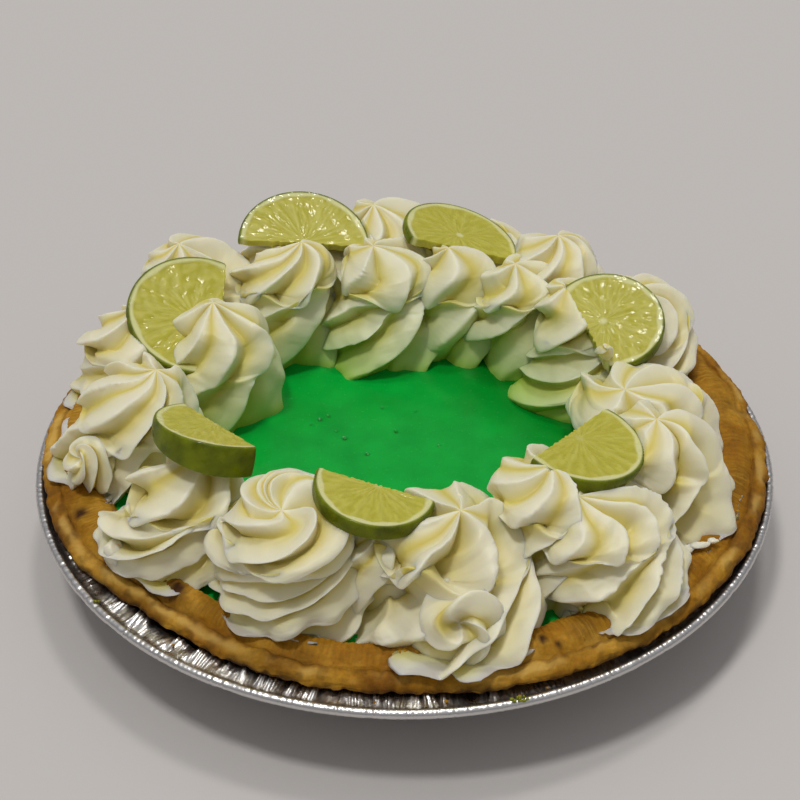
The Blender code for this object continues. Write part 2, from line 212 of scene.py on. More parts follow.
def surfaced(material, inputs):
    """Ends a material with one principled surface of these inputs."""
    node(material, "OutputMaterial", {"Surface": node(material, "BsdfPrincipled", inputs)})
    return material


def mesh_piece(name, points_mm, quads, material, values=None):
    """A smooth piece from an array of points in millimetres and one of four-cornered faces."""
    mesh = bpy.data.meshes.new(name)
    points = np.asarray(points_mm, np.float64).reshape(-1, 3) * MM
    quads = np.asarray(quads, np.int64)
    corners = quads.ravel()
    mesh.vertices.add(len(points))
    mesh.vertices.foreach_set("co", points.ravel())
    mesh.loops.add(len(corners))
    mesh.loops.foreach_set("vertex_index", corners)
    mesh.polygons.add(len(quads))
    mesh.polygons.foreach_set("loop_start", np.arange(len(quads)) * quads.shape[1])
    mesh.polygons.foreach_set("loop_total", np.full(len(quads), quads.shape[1]))
    for key, array in (values or {}).items():
        layer = mesh.attributes.new(key, "FLOAT", "POINT")
        layer.data.foreach_set("value", np.asarray(array, np.float32).ravel())
    mesh.update(calc_edges=True)
    mesh.validate()
    mesh.shade_smooth()
    made = bpy.data.objects.new(name, mesh)
    bpy.context.scene.collection.objects.link(made)
    mesh.materials.append(material)
    return made


def grid_quads(rows, columns, first=0):
    """Faces of a grid of points whose columns run round and close, and whose rows go up."""
    row, column = np.meshgrid(np.arange(rows - 1), np.arange(columns), indexing="ij")
    after = (column + 1) % columns
    low, high = first + row * columns, first + (row + 1) * columns
    return np.stack([low + column, low + after, high + after, high + column], axis=-1).reshape(-1, 4)


def closed_grid(name, rows, material, values=None, pole=1e-3):
    """A piece from rings of points, from the lowest to the highest, with a pole at each end.

    The first ring's mean closes the start and the last ring's mean the end. A small ring of the same
    number of points, a share of the last one's size, stands at each pole until it is welded.
    """
    rows = np.asarray(rows)
    count, around = rows.shape[:2]
    ends = [rows[0].mean(axis=0), rows[-1].mean(axis=0)]
    first = ends[0] + (rows[:1] - ends[0]) * pole
    last = ends[1] + (rows[-1:] - ends[1]) * pole
    points = np.concatenate([first, rows, last]).reshape(-1, 3)
    quads = grid_quads(count + 2, around)
    carried = {
        key: np.concatenate([array[:1], array, array[-1:]]).ravel() for key, array in (values or {}).items()
    }
    made = mesh_piece(name, points, quads, material, carried)
    weld_poles(made, around, count + 2)
    return made


def weld_poles(made, around, rows):
    """Merges the tiny rings at both poles into one point each, so that the surface is closed."""
    bm = bmesh.new()
    bm.from_mesh(made.data)
    bm.verts.ensure_lookup_table()
    for ring in (bm.verts[:around], bm.verts[(rows - 1) * around :]):
        middle = sum((v.co for v in ring), start=Vector()) / around
        bmesh.ops.pointmerge(bm, verts=ring, merge_co=middle)
    bm.to_mesh(made.data)
    bm.free()


def waves(points, size_mm, seed, octaves=2):
    """Smooth unevenness at each point, nearly always from -1 to 1.

    It is a sum of sines along random directions whose wavelengths lie about size_mm, with a
    half-as-large, half-as-strong set for each further octave.
    """
    draws = np.random.default_rng(seed)
    total = np.zeros(np.asarray(points).shape[:-1])
    share = 1.0
    for octave in range(octaves):
        for _ in range(WAVES_PER_OCTAVE):
            way = draws.normal(size=3)
            way *= TAU / (size_mm / 2**octave * draws.uniform(0.7, 1.5)) / np.linalg.norm(way)
            total = total + share * np.sin(points @ way + phase(draws))
        share *= 0.5
    return total / WAVES_REACH


def phase(draws):
    """A random place in a turn."""
    return draws.uniform(0, TAU)


def smooth(low, high, value):
    """0 below low, 1 above high, and 3t^2 - 2t^3 between."""
    t = np.clip((value - low) / (high - low), 0, 1)
    return t * t * (3 - 2 * t)


def bell(value, middle, width):
    """1 at the middle, falling to both sides as exp(-t^2), where t is the distance in widths."""
    return np.exp(-(((value - middle) / width) ** 2))


def ride(piece, *nodes, slot):
    """Puts a finished piece on the pie in place of its solids."""
    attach(piece, "root")
    if nodes:
        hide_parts(*nodes)


# Whipped cream


def whipped_cream():
    """Stiff whipped dairy cream: satin, hardly shiny, with painted green bounce light low down near the
    filling.

    It scatters light deep inside, and its folds are painted a darker, warmer yellow as painted shade.
    """
    made, place = new_material("whipped cream")
    crease = node(made, "Attribute", attribute_name="crease").outputs["Fac"]
    green_bounce_light = node(made, "Attribute", attribute_name="green_bounce_light").outputs["Fac"]
    fine = node(made, "TexNoise", {"Vector": place, "Scale": PER_METRE / 2.5, "Detail": 4, "Roughness": 0.55})
    # Painted shade: the deeper a point lies in a fold, the darker and warmer yellow it is painted.
    fold_shade = node(made, "ValToRGB", {"Fac": crease}, [(0.0, "#E6E2CB"), (0.45, "#E1DAB2"), (1.0, "#D6C666")])
    # Painted green bounce light from the filling, laid over that colour.
    tint = node(made, "Mix", {0: green_bounce_light, 6: fold_shade, 7: "#8CBC28"}, data_type="RGBA").outputs[2]
    return surfaced(
        made,
        {
            "Base Color": tint,
            "Roughness": 0.42,
            "IOR": 1.45,
            "Subsurface Weight": 0.6,
            "Subsurface Radius": (1.0, 0.8, 0.35),
            "Subsurface Scale": 0.0038,
            "Normal": node(made, "Bump", {"Height": fine, "Distance": 0.12 * MM, "Strength": 0.5}),
        },
    )


def foot_height(distance):
    """The height a swirl's axis stands on: halfway from the filling up to what lies at that distance."""
    return crust_height(distance) * 0.5 + FILLING_TOP * 0.5


def laid(rings, bearing, distance):
    """Moves a swirl from its own axis to its place and lays it on the filling and the crust.

    Distances from the middle past L = CREAM_SPREADS_TO - S are held to L + S tanh((reach - L) / S),
    where S is CREAM_SLOWS_OVER, so the cream stays inside the tin's rim.
    """
    way = math.radians(bearing)
    rings = rings + [distance * math.cos(way), distance * math.sin(way), foot_height(distance)]
    reach = np.hypot(rings[..., 0], rings[..., 1])
    over = np.clip(reach - CREAM_SPREADS_TO + CREAM_SLOWS_OVER, 0, None)
    held = reach - over + CREAM_SLOWS_OVER * np.tanh(over / CREAM_SLOWS_OVER)
    rings[..., :2] *= (held / np.maximum(reach, 1))[..., None]
    rest = crust_height(held) + CREAM_LIES_OVER
    rings[..., 2] += CREAM_FLATTENS * np.clip(rest - rings[..., 2], 0, None)
    rings[..., 2] -= CREAM_SINKS * np.exp(-np.clip(rings[..., 2] - rest, 0, None) / CREAM_SINKS_UP_TO)
    return rings


def petal_section(across, lip):
    """How far a petal stands out, 0 to 1, at each share of its width.

    It is a hollow face up to a round lip and then a steep fall, softened by a bell with a deviation of
    a thirtieth of the width.
    """
    even = np.linspace(-1, 2, 601)
    turn = even % 1.0
    face = np.clip(turn / lip, 0, 1)
    under = np.clip((turn - lip) / (1 - lip), 0, 1)
    rise = 0.6 * face**1.5 + 0.4 * np.sin(0.5 * np.pi * face)
    sharp = np.where(turn < lip, rise, 1 - under**0.8)
    kernel = np.exp(-((np.linspace(-3, 3, 41)) ** 2) / 2)
    soft = np.convolve(sharp, kernel / kernel.sum(), mode="same")
    inner = (even >= 0) & (even < 1)
    soft = (soft - soft[inner].min()) / (soft[inner].max() - soft[inner].min())
    return np.interp(across, even[inner], soft[inner])


def unit(vectors):
    """The vectors brought to a length of 1."""
    return vectors / (np.linalg.norm(vectors, axis=-1, keepdims=True) + 1e-12)


def swirl_dome(size, winding, dome, lean, frilled, s, share, draws):
    """The body of a swirl without its petals: its points, and the reach of each as a share of the radius.

    The dome is r = R cos(a)^p, z = Z sin(a)^q for a from 0 to 90 degrees, with a waist between two tiers
    and a peak or a pit at the top. Petal s stands at the bearing s + sweep (1 - (1 - a)^e) + wind a^4.
    Slow sines sway the petals, make the tiers uneven and lift them. The foot spreads and is frilled,
    the body is bent, and a peak's tip falls to one side.
    """
    radius, height = size
    _, start, sweep, early, wind = winding
    full, peak, waist, waist_place = dome
    climb = share * np.pi / 2
    start = math.radians(start)
    swing = math.radians(sweep) * (1 - (1 - share) ** early) + math.radians(wind) * share**4
    swing = swing * (1 + 0.10 * np.sin(s + phase(draws)))
    sway = 0.20 * np.sin(TAU * 1.1 * share + s + phase(draws)) * (1 - share)
    sway = sway + 0.08 * np.sin(TAU * 2.3 * share + 3 * s + phase(draws)) * (1 - share)
    off = share - waist_place - 0.06 * np.sin(start + s + swing + phase(draws))
    angle = start + s + swing + sway + 3.0 * waist * smooth(-0.08, 0.08, off)

    reach = np.cos(climb) ** (0.90 - 0.45 * full) * (1 + 0.07 * np.exp(-share / 0.07))
    reach = reach * (1 - waist * bell(off, 0, np.where(off < 0, 0.13, 0.05)))
    uneven = 1 + 0.05 * np.sin(angle + phase(draws)) + 0.035 * np.sin(2 * angle + 3 * share + phase(draws))
    stands = 1 + 0.07 * np.sin(s + phase(draws)) + 0.06 * np.sin(2 * s + phase(draws))
    r = radius * reach * uneven * stands

    z = (height - max(peak, 0) * 0.7) * np.sin(climb) ** (1.10 - 0.25 * full)
    z = z + peak * bell(np.cos(climb) ** 0.6, 0, 0.22)
    lift = np.sin(3 * angle + 2 * s + phase(draws)) * (1 - share) ** 0.7 * smooth(0, 0.12, share)
    z = z + 0.062 * radius * lift - 0.5 * waist * radius * bell(off, 0.06, 0.05)
    frill = 0.04 * np.sin(8 * angle + 14 * share + phase(draws)) + 0.015 * np.sin(13 * angle - 20 * share)
    r = r * (1 + frilled * frill * (1 - smooth(0.10, 0.34, share)))

    bend = 4.2 * share + phase(draws)
    x = r * np.cos(angle) + 0.08 * radius * np.cos(bend) * (1 - share) + lean[0] * share**1.6
    y = r * np.sin(angle) + 0.08 * radius * np.sin(bend) * (1 - share) + lean[1] * share**1.6
    tip = 0.15 * radius * smooth(0.72, 1.0, share) * (peak > 0)
    falls = phase(draws)
    return np.stack([x + tip * np.cos(falls), y + tip * np.sin(falls), z], axis=-1), reach


def swirl_shape(size, winding, relief, dome, lean, seed, frilled, rows=164):
    """A swirl from a star nozzle on its own axis, as rings up a dome with petals, and how creased it is.

    Each point moves in along the dome's normal by depth w (1 - c) and over the next petal by
    overhang w c^1.5, where c is petal_section and w the width of a petal square to its own run. Petals
    are of uneven width, torn at their lips by ragged, and towards the top every other one dies out.
    """
    radius, petals = size[0], winding[0]
    depth, overhang, ragged = relief
    draws = np.random.default_rng(seed)
    lip = 0.55 + 0.75 * overhang
    cuts = [(0, 0.12, 4), (0.12, lip - 0.1, 8), (lip - 0.1, lip + 0.08, 8), (lip + 0.08, 1, 5)]
    across = np.concatenate([np.linspace(low, high, steps, endpoint=False) for low, high, steps in cuts])
    widths = draws.uniform(0.6, 1.5, petals)
    edges = np.concatenate([[0], np.cumsum(widths)]) / widths.sum() * TAU
    s = (edges[:-1, None] + np.diff(edges)[:, None] * across[None, :]).ravel()[None, :]
    c = np.tile(petal_section(across, lip), petals)[None, :]
    share = np.linspace(0, 1, rows)[:, None] ** 0.92
    surface, reach = swirl_dome(size, winding, dome, lean, frilled, s, share, draws)

    run = unit(np.gradient(surface, axis=0))
    apart = (np.roll(s, -1, axis=1) - np.roll(s, 1, axis=1)) % TAU
    round_it = (np.roll(surface, -1, axis=1) - np.roll(surface, 1, axis=1)) / apart[..., None]
    square = round_it - (round_it * run).sum(axis=-1, keepdims=True) * run
    width = np.minimum(np.linalg.norm(square, axis=-1) * TAU / petals, 0.62 * radius)
    square = unit(square)
    out = np.cross(square, run)

    lively = 1 + 0.25 * np.sin(s + phase(draws)) + 0.15 * np.sin(2 * s + 3 * share + phase(draws))
    counter = (np.arange(petals)[:, None] + across[None, :]).ravel()
    pairs = np.cos(counter * np.pi * (petals // 2) / petals) ** 2
    lively = lively * (1 - 0.75 * smooth(0.55, 0.85, share) * pairs[None, :])
    patchy = smooth(0.1, 0.9, np.sin(2 * s + 5 * share + phase(draws)))
    notch = np.tile(0.07 * bell(across, 0.38, 0.05), petals)[None, :] * patchy
    rings = surface - out * (depth * lively * width * (1 - c + notch))[..., None]
    overhang = overhang * (1 - 0.7 * smooth(0.55, 0.9, share)) * (0.3 + 0.7 * smooth(0.0, 0.16, share))
    rings = rings + square * (overhang * lively * width * c**1.5)[..., None]

    patches = smooth(-0.4, 0.7, waves(rings, 30, seed + 9, 1))
    torn = waves(rings, 3.6, seed + 7, 3) * np.clip(width / 8, 0, 1) * patches
    rings = rings + (out * 0.5 + square) * (ragged * torn * c**5)[..., None]
    soft = waves(rings, 13, seed, 2) * 0.018 * radius
    soft = soft + waves(rings, 2.4, seed + 3, 2) * 0.03 * (1 + 3 * ragged)
    rings = rings + out * (soft * np.clip(reach, 0.15, 1))[..., None]
    return rings, np.broadcast_to(1 - c, rings.shape[:2])


def crust_height(radius):
    """How high the crust or the filling stands at a distance from the middle, from the rim's section."""
    section = (
        (0, FILLING_TOP), (CRUST_INNER_RADIUS - 0.5, FILLING_TOP), (CRUST_INNER_RADIUS + 2, 37.6),
        (CRUST_INNER_RADIUS + 5, CRUST_TOP - 0.3), (CRUST_OUTER_RADIUS + 6, CRUST_TOP),
    )  # fmt: skip
    return np.interp(radius, *zip(*section))


def pressed(rings, skip=()):
    """Presses cream that would stand through a lime slice down to just below the slice."""
    for name, values in LIME_SLICES.items():
        if name in skip:
            continue
        middle, facing, radius, past, round_side, thickness, (wedge, wedge_way) = values
        normal, across, upwards = slice_axes(facing)
        off = rings - np.array(middle, float)
        u, v, high = off @ across, off @ upwards, off @ normal
        toward, thicker = math.radians(round_side), math.radians(wedge_way)
        thick = thickness + wedge * (u * math.cos(thicker) + v * math.sin(thicker))
        past_cut = u * math.cos(toward) + v * math.sin(toward) + past
        inside = smooth(0.0, 1.2, radius - np.hypot(u, v)) * smooth(0.0, 1.2, past_cut)
        push = np.clip(high + thick + 0.15, 0, None) * inside * (high < 16)
        rings = rings - push[..., None] * normal
    return rings


def build_swirls(finish):
    """The two rows of swirls, the small curls on their flanks and the flakes of cream on the rim."""
    for name, (where, winding, relief, dome, lean) in SWIRLS.items():
        bearing, distance, radius, height = where
        seed = 40 + int(name[-2:]) + 20 * ("inner" in name)
        size = (radius, FILLING_TOP + height - foot_height(distance))
        frilled = RIM_FRILL if distance > RIM_ROW_FROM else FILLING_FRILL
        rings, crease = swirl_shape(size, winding, relief, dome, lean, seed, frilled)
        beside = ("lime_slice_1",) if name == "cream_inner_07" else ()
        rings = pressed(laid(rings, bearing, distance), beside)
        # Painted green light bounced from the filling: strongest low down on the inner swirls, fading with
        # height.
        inner = 1 - smooth(66, 92, np.hypot(rings[..., 0], rings[..., 1]))
        green_bounce_light = 0.9 * inner * np.exp(-np.clip(rings[..., 2] - FILLING_TOP, 0, None) / 11)
        made = closed_grid(f"{name}_piped", rings, finish, {"crease": crease, "green_bounce_light": green_bounce_light})
        ride(made, name, slot="whipped_cream")
    relief, lean = (0.50, 0.24, 0.1), (1, 1)
    for number, (name, (place, radius, height, facing, (petals, sweep, pit))) in enumerate(CURLS.items()):
        size, winding, dome = (radius, height), (petals, 0, sweep, 1.3, 40), (0.7, pit, 0.0, 0.4)
        rings, crease = swirl_shape(size, winding, relief, dome, lean, 300 + number, 0.0, CURL_ROWS)
        normal, across, upwards = slice_axes(facing)
        rings = place + rings[..., :1] * across + rings[..., 1:2] * upwards + rings[..., 2:] * normal
        ride(closed_grid(name, rings, finish, {"crease": crease}), slot="whipped_cream")
    ride(scattered("cream_scraps", CREAM_SCRAPS, finish), slot="whipped_cream")


def scattered(name, lumps, material, rows=26, around=36, peel=0.0):
    """One piece of closed lumps, each a ball pulled to its half sizes, turned, and roughened by waves.

    Lumps are (place, half sizes, turn, seed). All of them carry the same share of peel.
    """
    a = np.linspace(1e-4, np.pi - 1e-4, rows)[:, None]
    b = np.linspace(0, TAU, around, endpoint=False)[None, :]
    ball = np.stack([np.sin(a) * np.cos(b), np.sin(a) * np.sin(b), -np.cos(a) + 0 * b], axis=-1)
    points, quads = [], []
    for number, (place, size, turn, seed) in enumerate(lumps):
        lump = ball * (1 + 0.22 * waves(ball, 1.8, seed, 3))[..., None] * size
        x = lump[..., 0] * math.cos(turn) - lump[..., 1] * math.sin(turn)
        y = lump[..., 0] * math.sin(turn) + lump[..., 1] * math.cos(turn)
        points.append((np.stack([x, y, lump[..., 2]], axis=-1) + place).reshape(-1, 3))
        quads.append(grid_quads(rows, around, number * rows * around))
    carried = {"peel": np.full(rows * around * len(lumps), peel)}
    made = mesh_piece(name, np.concatenate(points), np.concatenate(quads), material, carried)
    bm = bmesh.new()
    bm.from_mesh(made.data)
    bmesh.ops.remove_doubles(bm, verts=bm.verts, dist=2e-6)
    bm.to_mesh(made.data)
    bm.free()
    return made


# Shortcrust


def radial_streaks(material, place, wide_mm, long_mm):
    """Noise on (bearing, distance, 0), so that its features are short round the pie and long outwards."""
    split = node(material, "SeparateXYZ", {"Vector": place})
    sides = {0: split.outputs["Y"], 1: split.outputs["X"]}
    bearing = node(material, "Math", sides, operation="ARCTAN2")
    reach = node(material, "VectorMath", {0: place}, operation="LENGTH").outputs["Value"]
    round_it = node(material, "Math", {0: bearing, 1: CRUST_OUTER_RADIUS / wide_mm}, operation="MULTIPLY")
    outwards = node(material, "Math", {0: reach, 1: 1 / (long_mm * MM)}, operation="MULTIPLY")
    joined = node(material, "CombineXYZ", {"X": round_it, "Y": outwards})
    return node(material, "TexNoise", {"Vector": joined, "Scale": 1.0, "Detail": 3.0, "Roughness": 0.6})


def shortcrust():
    """Blind-baked shortcrust: matte and a little greasy, with a grain of flour and fat of about a millimetre.

    It is golden on top, with a painted highlight in patches along the top of the lip and painted shade in the
    groove, in the low ridges and down the lip's underside and outer face. It is brown at random and where it
    is caught, and drawn out in streaks where the rim was pinched.
    """
    made, place = new_material("baked shortcrust")
    streaked, lip_highlight, browning_and_shade = (
        node(made, "Attribute", attribute_name=name).outputs["Fac"] for name in ("streaked", "lip_highlight", "browning_and_shade")
    )
    broad = node(made, "TexNoise", {"Vector": place, "Scale": PER_METRE / 22, "Detail": 4, "Roughness": 0.6})
    fine = node(made, "TexNoise", {"Vector": place, "Scale": PER_METRE / 1.3, "Detail": 5, "Roughness": 0.7})
    golds = [(0.30, "#7E5208"), (0.46, "#9C6E12"), (0.58, "#B68A28"), (0.72, "#CCA448")]
    gold = node(made, "ValToRGB", {"Fac": broad}, golds)
    specks = node(made, "ValToRGB", {"Fac": fine}, [(0.35, "#705014"), (0.65, "#D8B870")])
    colour = node(made, "Mix", {0: 0.25, 6: gold, 7: specks}, data_type="RGBA", blend_type="OVERLAY")
    streaks = [(0.36, "#825808"), (0.52, "#9C7014"), (0.68, "#C09838")]
    streaks = node(made, "ValToRGB", {"Fac": radial_streaks(made, place, 0.9, 9)}, streaks)
    # Over the colour: the streaks, the painted highlight on the lip, and the browning with painted shade.
    for share, over in ((streaked, streaks), (lip_highlight, "#D2B060"), (browning_and_shade, "#3A1E02")):
        colour = node(made, "Mix", {0: share, 6: colour.outputs[2], 7: over}, data_type="RGBA")
    return surfaced(
        made,
        {
            "Base Color": colour.outputs[2],
            "Roughness": 0.66,
            "IOR": 1.45,
            "Specular IOR Level": 0.2,
            "Subsurface Weight": 0.08,
            "Subsurface Radius": (1.0, 0.5, 0.2),
            "Subsurface Scale": 0.001,
            "Normal": node(made, "Bump", {"Height": fine, "Distance": 0.35 * MM, "Strength": 0.7}),
        },
    )


# How far out the crust's lip reaches, at bearings round the pie.
LIP = (
    (0, 125.4), (30, 125.6), (60, 125.0), (90, 124.6), (120, 125.2), (150, 125.6), (185, 125.6), (203, 123.8),
    (211, 122.4), (217, 119.2), (224, 116.8), (235, 116.7), (246, 118.2), (256, 119.5), (269, 118.9),
    (280, 120.3), (293, 122.1), (310, 124.2), (330, 125.2), (360, 125.4),
)  # fmt: skip

# Burnt spots: (bearing, distance, size, depth) and nicks: (bearing, depth, width in degrees).
BURNS = (
    (201, 115, 2.2, 1.0), (227.5, 107, 3.2, 0.9), (292.5, 112, 1.8, 1.0), (294.5, 115, 1.3, 0.9),
    (243, 118, 2.0, 0.5),
)  # fmt: skip
NICKS = ((159, 2.2, 4), (9, 1.8, 3), (-48, 1.2, 3), (-128, 1.0, 4), (-70, 0.8, 1.5), (222, 0.9, 2))


def crust_rings(columns=1100):
    """The crust as rings round the pie, and what its material needs at each point.

    The rings run from the underside of its floor, out and up its wall, over the rim and in. The section
    is a list of (radius, height, share of the lip's shift), and w is a place along it, counted in its
    rows: the lip is widest at 8.6 and highest at 11.6, a groove runs at 13.4, and from 14.5 to 21.5 lies
    the top. Round the pie the lip moves out and in by slow sines, nicks and fine raggedness, and the
    surface gets radial ridges, lumps and grains: ring(angle) = section + lip(angle) + relief(angle, w).
    """
    section = [
        (0.5, 0.8, 0), (92, 0.8, 0), (95.2, 2.6, 0), (108, 20.0, 0), (114.2, 28.2, 0),
        (114.9, 30.0, 1), (118.4, 30.6, 1), (120.5, 31.2, 1), (121.3, 32.2, 1), (121.4, 33.2, 1),
        (120.9, 34.3, 1), (119.8, 35.3, 1), (118.2, 36.1, 1), (116.8, 36.5, 1), (116.0, 36.2, 1),
        (115.1, 37.0, 1), (113.3, 38.4, 1), (110.9, 39.3, 0.95), (108.8, 39.5, 0.85), (106.2, 39.1, 0.6),
        (104.2, 37.6, 0.3), (102.9, 35.6, 0.1), (102.4, 34.0, 0), (101.2, 30, 0), (88, 10, 0),
        (83.5, 5.2, 0), (0.5, 5.2, 0),
    ]  # fmt: skip
    knots = np.arange(len(section), dtype=float)
    w = np.unique(np.concatenate([np.linspace(5, 22, 62), knots]))[:, None]
    base, z, follows = (np.interp(w, knots, column) for column in zip(*section))
    angle = np.linspace(0, TAU, columns, endpoint=False)
    degrees = np.degrees(angle)
    lip = np.interp(degrees, *zip(*LIP)) + 0.35 * np.sin(5 * angle + 1) + 0.2 * np.sin(13 * angle)
    for bearing, depth, width in NICKS:
        lip = lip - depth * bell((degrees - bearing + 180) % 360 - 180, 0, width)
    shift = follows * (lip - LIP_RADIUS)
    r, z = base + shift, np.repeat(z, columns, axis=1)
    around = np.stack([r * np.cos(angle), r * np.sin(angle), z], axis=-1)
    flat = np.stack([121 * np.cos(angle), 121 * np.sin(angle), 0 * angle], axis=-1)[None]

    shown = smooth(5, 7, w) * (1 - smooth(21, 22.4, w))
    on_top = smooth(14.5, 16, w) * (1 - smooth(20, 21.5, w))
    edge = bell(w, 8.6, 1.7)
    ragged = waves(flat, 9, 5, 3) * 0.6 + waves(flat, 3.2, 6, 2) * 0.45
    ridges = np.sin(angle * 330 + 6 * waves(flat, 60, 9, 1) + 1.4 * waves(around, 9, 12, 1))
    r = r + edge * ragged * 0.5 + shown * 0.25 * waves(around, 4.5, 14, 2) * (1 - on_top)
    z = z + edge * waves(flat, 6, 8, 3) * 0.3 + 0.25 * shift
    z = z + shown * (0.45 * waves(around, 11, 10, 2) + 0.16 * waves(around, 2.4, 11, 2))
    z = z + on_top * (0.16 * ridges + 0.5 * shown * np.sin(5 * angle + 0.7))
    x, y = r * np.cos(angle), r * np.sin(angle)

    on_lip = smooth(9.5, 10.5, w) * (1 - smooth(12.5, 13.5, w))
    # Painted shade in the groove, down the lip's underside and outer face and in the low ridges on top. The
    # random patches and burnt spots are real browning.
    browning_and_shade = 0.42 * bell(w, 13.4, 0.8) + 0.72 * (1 - smooth(7.6, 11.0, w))
    browning_and_shade = browning_and_shade + 0.26 * smooth(0.3, 1.2, waves(around, 26, 21, 2)) + on_top * 0.12 * (ridges < -0.4)
    browning_and_shade = browning_and_shade + 0.35 * on_lip * smooth(0.1, 0.9, waves(around, 7, 23, 2))
    browning_and_shade = browning_and_shade - 0.7 * bell(w, 8.6, 0.8) * smooth(0.0, 0.8, waves(around, 5, 25, 2))
    for bearing, distance, size, depth in BURNS:
        at = np.radians(bearing)
        off = np.hypot(x - distance * np.cos(at), y - distance * np.sin(at))
        browning_and_shade = browning_and_shade + depth * bell(off, 0, size)
    # Painted highlight in patches along the top of the lip.
    lip_highlight = bell(w, 11.6, 0.9) * smooth(-0.6, 0.8, waves(around, 18, 29, 2))
    streaked = 0.6 * on_top * smooth(-0.5, 0.7, waves(around, 40, 27, 2))
    values = {"browning_and_shade": np.clip(browning_and_shade - 0.3 * lip_highlight, 0, 1), "streaked": streaked, "lip_highlight": 0.55 * lip_highlight}
    return np.stack([x, y, z], axis=-1), values


def build_crust():
    """The shell that holds the filling."""
    rings, values = crust_rings()
    ride(closed_grid("crust_baked", rings, shortcrust(), values), "crust", slot="shortcrust")


def build_crumbs(lime):
    """Crumbs of crust along the lip and on the foil, and crumbs of lime peel on the rim."""
    draws = np.random.default_rng(77)
    lumps = []
    for number in range(22):
        bearing = math.radians(draws.uniform(190, 350))
        reach = draws.choice([117.5, 121.0, 124.5]) + draws.uniform(-1.5, 1.0)
        size = draws.uniform(0.25, 0.75) * np.array([1, draws.uniform(0.6, 1), 0.6])
        height = TIN_HEIGHT + 0.3 if reach > FOIL_FROM else crust_height(reach) + 0.2
        if reach > FOIL_FROM or draws.uniform() < 0.5:
            place = (reach * math.cos(bearing), reach * math.sin(bearing), height)
            lumps.append((place, size, draws.uniform(0, 3), number))
    ride(scattered("crust_crumbs", lumps, shortcrust(), 10, 12), slot="shortcrust")
    green = []
    for x, y, spread, count in ((36.0, -121.5, 2.2, 9), (-99.0, -77.5, 1.0, 3)):
        for number in range(count):
            place = (x + draws.normal(0, spread), y + draws.normal(0, 0.5), 31.9 + draws.uniform(-0.1, 0.4))
            green.append((place, draws.uniform(0.3, 0.65, 3), draws.uniform(0, 3), 50 + number))
    ride(scattered("lime_crumbs", green, lime, 10, 12, peel=0.8), slot="lime")


# Filling

# Bubbles and pits on the filling: (right, back, radius, depth), depth under zero for a raised bubble.
PITS = (
    (-30, 17, 0.8, 0.8), (-27, 19, 0.6, 0.7), (-33, 14, 0.5, 0.6), (-21, 6, 0.8, 0.8), (-3, 10, 0.7, 0.8),
    (-13, -3, 0.7, 0.8), (-24, 10, 0.5, 0.5), (4, 22, 0.5, 0.5), (12, 2, 0.5, 0.5), (-8, 24, 0.6, 0.5),
)  # fmt: skip


def green_filling():
    """Set lime custard dyed a strong green: smooth and a little wet, so it shows soft reflections.

    Its top has specks of 1.6 mm and clouds of 16 mm. Its pits are painted dark as painted shade, and it is
    painted darker with shade towards the right and back.
    """
    made, place = new_material("green lime custard")
    shade, pit = (node(made, "Attribute", attribute_name=name).outputs["Fac"] for name in ("shade", "pit"))
    cloud = node(made, "TexNoise", {"Vector": place, "Scale": PER_METRE / 16, "Detail": 3, "Roughness": 0.55})
    specks = {"Vector": place, "Scale": PER_METRE / 1.6, "Detail": 2, "Roughness": 0.55}
    specks = node(made, "TexNoise", specks)
    green = node(made, "ValToRGB", {"Fac": cloud}, [(0.3, "#009430"), (0.7, "#06A83A")])
    # Painted shade towards the right and back.
    dark = node(made, "Mix", {0: shade, 6: green, 7: "#005C02"}, data_type="RGBA").outputs[2]
    # Painted shade in the pits, darker the deeper they are.
    pitted = node(made, "Mix", {0: pit, 6: dark, 7: "#013A0A"}, data_type="RGBA").outputs[2]
    return surfaced(
        made,
        {
            "Base Color": pitted,
            "Roughness": node(made, "ValToRGB", {"Fac": specks}, [(0.3, 0.18), (0.7, 0.28)]),
            "IOR": 1.42,
            "Specular IOR Level": 0.25,
            "Subsurface Weight": 0.15,
            "Subsurface Radius": (0.2, 1.0, 0.3),
            "Subsurface Scale": 0.002,
            "Normal": node(made, "Bump", {"Height": specks, "Distance": 0.12 * MM, "Strength": 0.35}),
        },
    )


def build_filling():
    """The filling from the middle of its underside, up its sloped wall and over its flat top to the middle.

    The top is flat but for slow waves of 0.12 mm, and each pit is a bell-shaped hollow.
    """
    angle = np.linspace(0, TAU, 420, endpoint=False)
    wall = [(0.5, 5.5), (82, 5.5), (86, 7.5), (101.6, 32.5), (102.6, 33.6)]
    flat_top = [(r, FILLING_TOP) for r in (102.2, 99, 95, 90, 84, *np.arange(78, 0.9, -0.6))]
    r, z = (np.array(column)[:, None] for column in zip(*wall, *flat_top))
    x, y = r * np.cos(angle), r * np.sin(angle)
    top = np.arange(len(r))[:, None] > len(wall)
    z = z + top * (0.12 * waves(np.stack([x, y, 0 * x], axis=-1), 30, 31, 2) - 0.15)
    pit = np.zeros_like(x)
    # Each pit is also painted dark by its depth, as painted shade in the hollow.
    for right, back, size, depth in PITS:
        hollow = top * depth * bell(np.hypot(x - right, y - back), 0, size)
        z = z - hollow
        pit = pit + hollow
    # Painted shade: darker towards the right and back, where the cream stands close.
    shade = 0.85 * smooth(22, 66, 0.75 * x + 0.66 * y)
    values = {"pit": np.clip(pit, 0, 1), "shade": shade}
    made = closed_grid("lime_filling_set", np.stack([x, y, z], axis=-1), green_filling(), values)
    ride(made, "lime_filling", slot="lime_filling")


# Foil tin


